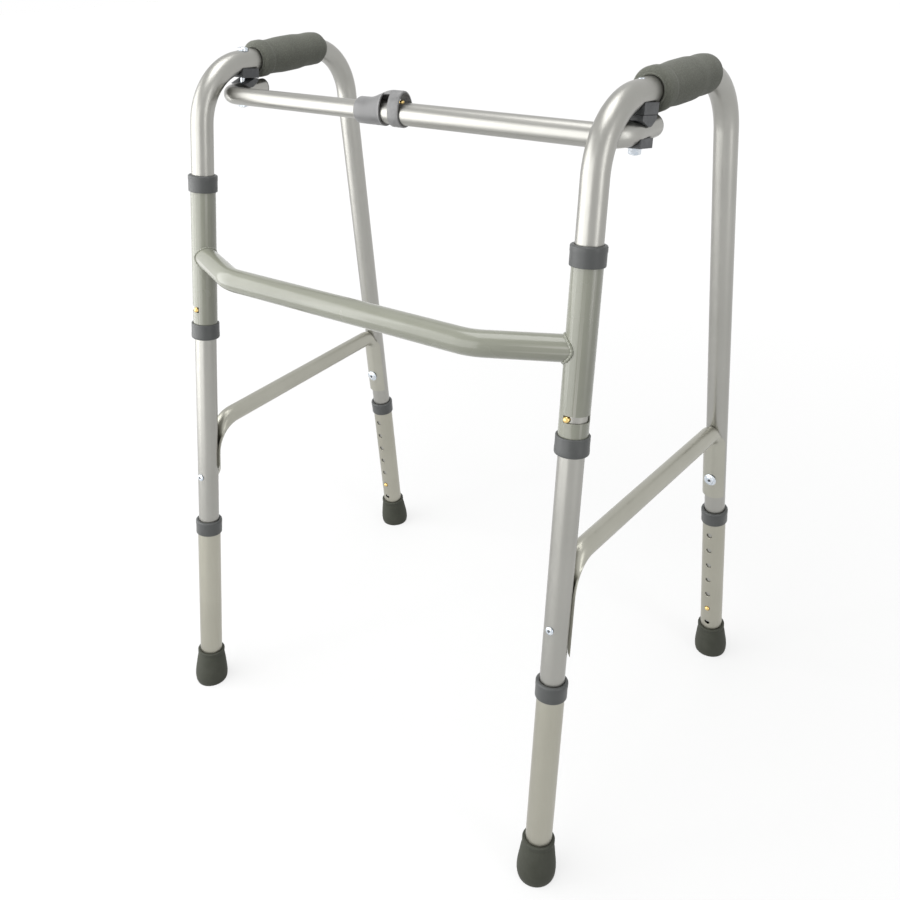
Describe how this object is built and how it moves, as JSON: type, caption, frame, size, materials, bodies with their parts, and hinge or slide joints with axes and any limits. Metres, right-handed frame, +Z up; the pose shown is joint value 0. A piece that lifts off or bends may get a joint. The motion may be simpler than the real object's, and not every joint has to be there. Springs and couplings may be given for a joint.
{
  "type": "folding walker",
  "caption": "Folding walking frame: two bent side frames hinged on a front brace, telescoping crossbar, snap-button height legs, foam grips and rubber feet.",
  "frame": {"origin": "on the floor, midway between the four feet", "axes": "+X to the user's right, +Y to the rear where the user stands, +Z up"},
  "size_m": [0.6168, 0.4817, 0.8209],
  "materials": {
    "aluminium": "satin anodised",
    "champagne": "pearly anodised",
    "enamel": "gloss stove enamel",
    "dark_plastic": "moulded",
    "collar_plastic": "semi-gloss moulded",
    "rubber": "matt",
    "foam": "closed-cell foam",
    "zinc": "zinc plated",
    "brass": "polished",
    "spring_steel": "plain"
  },
  "bodies": {
    "front_brace": {"brace_bar": "enamel", "left_brace_sleeve": "enamel", "left_sleeve_top_bush": "dark_plastic", "left_sleeve_bottom_bush": "dark_plastic", "right_brace_sleeve": "enamel", "right_sleeve_top_bush": "dark_plastic", "right_sleeve_bottom_bush": "dark_plastic"},
    "left_frame": {"left_side_tube": "aluminium", "left_grip": "foam", "left_side_brace": "aluminium", "left_brace_rear_bolt": "zinc", "left_brace_front_rivet": "zinc", "left_upper_saddle": "dark_plastic", "left_pivot_bolt": "zinc", "left_front_leg_button_spring": "spring_steel", "left_rear_leg_button_spring": "spring_steel", "left_sleeve_button_spring": "spring_steel"},
    "right_frame": {"right_side_tube": "aluminium", "right_grip": "foam", "right_side_brace": "aluminium", "right_brace_rear_bolt": "zinc", "right_brace_front_rivet": "zinc", "right_upper_saddle": "dark_plastic", "right_pivot_bolt": "zinc", "right_front_leg_button_spring": "spring_steel", "right_rear_leg_button_spring": "spring_steel", "right_sleeve_button_spring": "spring_steel", "right_pivot_nut": "zinc"},
    "crossbar_outer": {"crossbar_outer_tube": "aluminium", "crossbar_release_collar": "collar_plastic", "crossbar_right_end_plug": "dark_plastic", "right_mid_saddle": "dark_plastic", "right_lower_saddle": "dark_plastic"},
    "crossbar_inner": {"crossbar_inner_tube": "aluminium", "crossbar_release_spring": "spring_steel", "crossbar_left_end_plug": "dark_plastic", "left_mid_saddle": "dark_plastic", "left_lower_saddle": "dark_plastic", "left_pivot_stud": "zinc", "left_pivot_nut": "zinc"},
    "left_front_leg": {"left_front_leg_extension": "champagne", "left_front_extension_bush": "dark_plastic", "left_front_rubber_foot": "rubber"},
    "left_rear_leg": {"left_rear_leg_extension": "champagne", "left_rear_extension_bush": "dark_plastic", "left_rear_rubber_foot": "rubber"},
    "right_front_leg": {"right_front_leg_extension": "champagne", "right_front_extension_bush": "dark_plastic", "right_front_rubber_foot": "rubber"},
    "right_rear_leg": {"right_rear_leg_extension": "champagne", "right_rear_extension_bush": "dark_plastic", "right_rear_rubber_foot": "rubber"},
    "left_front_leg_button_body": {"left_front_leg_button": "brass"},
    "left_rear_leg_button_body": {"left_rear_leg_button": "brass"},
    "left_sleeve_button_body": {"left_sleeve_button": "brass"},
    "right_front_leg_button_body": {"right_front_leg_button": "brass"},
    "right_rear_leg_button_body": {"right_rear_leg_button": "brass"},
    "right_sleeve_button_body": {"right_sleeve_button": "brass"},
    "release_button_body": {"crossbar_release_button": "brass"}
  },
  "joints": [
    {"name": "left_fold", "type": "hinge", "parent": "front_brace", "child": "left_frame", "pos_m": [-0.262, -0.22065, 0], "axis": [-0.022, -0.1367, -0.9904], "range_deg": [0, 89]},
    {"name": "right_fold", "type": "hinge", "parent": "front_brace", "child": "right_frame", "pos_m": [0.262, -0.22065, 0], "axis": [-0.022, 0.1367, 0.9904], "range_deg": [0, 60.52]},
    {"name": "crossbar_turn", "type": "hinge", "parent": "right_frame", "child": "crossbar_outer", "pos_m": [0.24803, -0.04456, 0.7997], "axis": [0.022, -0.1367, -0.9904], "range_deg": [0, 55.82]},
    {"name": "crossbar_telescope", "type": "slide", "parent": "crossbar_outer", "child": "crossbar_inner", "axis": [1, 0, 0], "range_m": [0, 0.1265]},
    {"name": "left_front_height", "type": "slide", "parent": "left_frame", "child": "left_front_leg", "axis": [-0.022, -0.1367, -0.9904], "range_m": [-0.0254, 0.127]},
    {"name": "left_rear_height", "type": "slide", "parent": "left_frame", "child": "left_rear_leg", "axis": [-0.036, 0.1041, -0.9939], "range_m": [-0.0254, 0.127]},
    {"name": "right_front_height", "type": "slide", "parent": "right_frame", "child": "right_front_leg", "axis": [0.022, -0.1367, -0.9904], "range_m": [-0.0254, 0.127]},
    {"name": "right_rear_height", "type": "slide", "parent": "right_frame", "child": "right_rear_leg", "axis": [0.036, 0.1041, -0.9939], "range_m": [-0.0254, 0.127]},
    {"name": "left_front_leg_button_press", "type": "slide", "parent": "left_frame", "child": "left_front_leg_button_body", "axis": [0.061, -0.9889, 0.1351], "range_m": [0, 0.0042], "stiffness_N_per_m": 900, "springref_m": -0.004, "deforming": ["left_front_leg_button_spring"]},
    {"name": "left_rear_leg_button_press", "type": "slide", "parent": "left_frame", "child": "left_rear_leg_button_body", "axis": [-0.054, 0.9929, 0.106], "range_m": [0, 0.0042], "stiffness_N_per_m": 900, "springref_m": -0.004, "deforming": ["left_rear_leg_button_spring"]},
    {"name": "left_sleeve_button_press", "type": "slide", "parent": "left_frame", "child": "left_sleeve_button_body", "axis": [-0.061, 0.9889, -0.1351], "range_m": [0, 0.0042], "stiffness_N_per_m": 900, "springref_m": -0.004, "deforming": ["left_sleeve_button_spring"]},
    {"name": "right_front_leg_button_press", "type": "slide", "parent": "right_frame", "child": "right_front_leg_button_body", "axis": [-0.061, -0.9889, 0.1351], "range_m": [0, 0.0042], "stiffness_N_per_m": 900, "springref_m": -0.004, "deforming": ["right_front_leg_button_spring"]},
    {"name": "right_rear_leg_button_press", "type": "slide", "parent": "right_frame", "child": "right_rear_leg_button_body", "axis": [0.054, 0.9929, 0.106], "range_m": [0, 0.0042], "stiffness_N_per_m": 900, "springref_m": -0.004, "deforming": ["right_rear_leg_button_spring"]},
    {"name": "right_sleeve_button_press", "type": "slide", "parent": "right_frame", "child": "right_sleeve_button_body", "axis": [0.061, 0.9889, -0.1351], "range_m": [0, 0.0042], "stiffness_N_per_m": 900, "springref_m": -0.004, "deforming": ["right_sleeve_button_spring"]},
    {"name": "release_button_press", "type": "slide", "parent": "crossbar_outer", "child": "release_button_body", "axis": [0, 0, -1], "range_m": [0, 0.0012], "stiffness_N_per_m": 900, "springref_m": -0.004, "deforming": ["crossbar_release_spring"]}
  ],
  "couplings": [
    {"joint": "right_fold", "follows": "left_fold", "ratio": 0.68},
    {"joint": "crossbar_turn", "follows": "left_fold", "ratio": 0.62713},
    {"joint": "crossbar_telescope", "follows": "left_fold", "m_per_rad": 0.081408}
  ]
}
